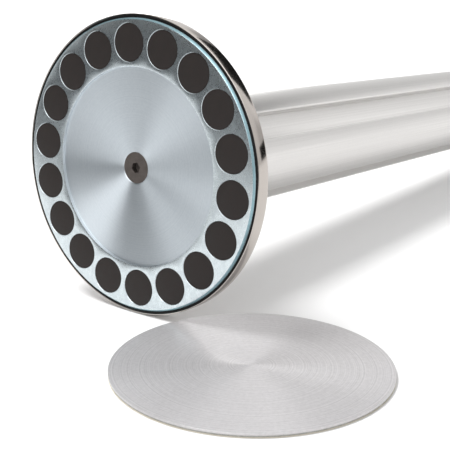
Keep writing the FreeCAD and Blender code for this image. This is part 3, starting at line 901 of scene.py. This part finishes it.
# The sky's strength on matt surfaces, whatever the patches are, and behind the pieces.
FILL = 0.74
BACKDROP = 1.0
KEY_TOWARD = (0.28, -0.38, -1.0)
KEY_SOFTNESS = 22.0
KEY_POWER = 2.2


def studio_floor():
    """A plain pale floor, painted dark on one side in reflections alone: a painted dark reflection in the
    mirroring pieces.
    """
    made, tree = blank("pale_floor")
    place = add(tree, "TexCoord").outputs["Object"]
    cloud = add(tree, "TexNoise", {"Vector": place, "Scale": 2.0, "Detail": 2.0}).outputs[0]
    pale = add(tree, "Mix", {0: cloud, 6: linear("#F6F6F6"), 7: linear("#F3F3F3")},
               data_type="RGBA").outputs[2]
    aside = add(tree, "VectorMath", {0: place, 1: DARK_REFLECTION_SIDE}, operation="DOT_PRODUCT").outputs["Value"]
    painted_reflection_fade = add(tree, "MapRange", {"Value": aside, "From Min": DARK_REFLECTION_ENDS[0], "From Max": DARK_REFLECTION_ENDS[1]},
                interpolation_type="SMOOTHSTEP").outputs[0]
    mirrored = add(tree, "LightPath").outputs["Is Glossy Ray"]
    share = add(tree, "Math", {0: painted_reflection_fade, 1: mirrored}, operation="MULTIPLY").outputs[0]
    # the dark colour, seen only by mirrored rays, is the painted reflection
    colour = add(tree, "Mix", {0: share, 6: pale, 7: linear("#3A3D40")}, data_type="RGBA").outputs[2]
    shader = add(tree, "BsdfPrincipled", {"Base Color": colour, "Roughness": 1.0, "Specular IOR Level": 0.0})
    add(tree, "OutputMaterial", {"Surface": shader.outputs[0]})
    bm = bmesh.new()
    bmesh.ops.create_grid(bm, x_segments=4, y_segments=4, size=FLOOR_SIZE)
    floor = to_object("floor", bm)
    floor.location.z = cad_low.z - FLOOR_DROP
    floor.data.materials.append(made)


def heading(turn, rise):
    """A direction, turned from +X towards +Y and raised from level, in degrees."""
    a, e = math.radians(turn), math.radians(rise)
    return (math.cos(a) * math.cos(e), math.sin(a) * math.cos(e), math.sin(e))


def studio_sky():
    """A sky whose patches only mirroring pieces see; the background itself is plain."""
    world = bpy.data.worlds.new("studio")
    bpy.context.scene.world = world
    world.use_nodes = True
    tree = world.node_tree
    tree.nodes.clear()
    way = add(tree, "TexCoord").outputs["Generated"]
    height = add(tree, "SeparateXYZ", {0: way}).outputs[2]
    level = add(tree, "MapRange", {"Value": height, "From Min": 0.0, "From Max": SKY_HEIGHT,
                                   "To Min": SKY_LEVEL, "To Max": SKY_TOP}).outputs[0]
    for turn, rise, half, edge, bright in CARDS:
        near = add(tree, "VectorMath", {0: way, 1: heading(turn, rise)},
                   operation="DOT_PRODUCT").outputs["Value"]
        inside = add(tree, "MapRange", {
            "Value": near, "From Min": math.cos(math.radians(half + edge)),
            "From Max": math.cos(math.radians(half))}, interpolation_type="SMOOTHSTEP").outputs[0]
        level = add(tree, "Mix", {0: inside, 2: level, 3: bright}, data_type="FLOAT").outputs[0]
    rays = add(tree, "LightPath").outputs
    level = add(tree, "Mix", {0: rays["Is Diffuse Ray"], 2: level, 3: FILL}, data_type="FLOAT").outputs[0]
    strength = add(tree, "Mix", {0: rays["Is Camera Ray"], 2: level, 3: BACKDROP},
                   data_type="FLOAT").outputs[0]
    light = add(tree, "Background", {"Color": linear("#FFFFFF"), "Strength": strength})
    add(tree, "OutputWorld", {"Surface": light.outputs[0]})


def dark_card(name, middle, facing, width, height):
    """A black card turned toward a place, which only shows in reflections: it paints a dark reflection, as it
    neither shows to the camera nor casts a shadow.
    """
    bm = bmesh.new()
    bmesh.ops.create_grid(bm, x_segments=2, y_segments=2, size=0.5)
    card = to_object(name, bm)
    card.location = middle
    card.rotation_euler = (Vector(facing) - Vector(middle)).to_track_quat("Z", "Y").to_euler()
    card.scale = (width, height, 1.0)
    card.data.materials.append(RUBBER)
    card.visible_camera = False
    card.visible_diffuse = False
    card.visible_shadow = False


def soft_light(name, toward, softness, power):
    """A distant soft light, which isn't itself mirrored in the pieces."""
    data = bpy.data.lights.new(name, "SUN")
    data.angle = math.radians(softness)
    data.energy = power
    lamp = bpy.data.objects.new(name, data)
    lamp.rotation_euler = Vector(toward).to_track_quat("-Z", "Y").to_euler()
    lamp.visible_glossy = False
    bpy.context.scene.collection.objects.link(lamp)


CAMERA_AT = Vector((-0.32414, -0.22608, 0.17864))
CAMERA_AIM = Vector((0.18640, 0.15433, 0.0))
CAMERA_ROLL = 0.248
# Lens and sensor are millimetres.
CAMERA_LENS = 75.345
CAMERA_SENSOR = 36.0
CAMERA_NEAR = 0.01

studio_floor()
studio_sky()
soft_light("overhead", KEY_TOWARD, KEY_SOFTNESS, KEY_POWER)
# cards that paint dark reflections on the polished cover's rim
dark_card("card_beside_rim", (0.228, 0.012, 0.272), (0.02, 0.035, 0.135), 0.17, 0.14)
dark_card("card_under_rim", (0.125, -0.055, 0.103), (0.02, 0.014, 0.085), 0.05, 0.022)

camera_data = bpy.data.cameras.new("camera")
camera_data.lens = CAMERA_LENS
camera_data.sensor_width = CAMERA_SENSOR
camera_data.clip_start = CAMERA_NEAR
camera = bpy.data.objects.new("camera", camera_data)
bpy.context.scene.collection.objects.link(camera)
camera.location = CAMERA_AT
camera.rotation_mode = "QUATERNION"
aim = (CAMERA_AIM - CAMERA_AT).to_track_quat("-Z", "Y")
camera.rotation_quaternion = aim @ Quaternion((0.0, 0.0, 1.0), math.radians(CAMERA_ROLL))
bpy.context.scene.camera = camera
bpy.context.scene.view_settings.view_transform = "Standard"
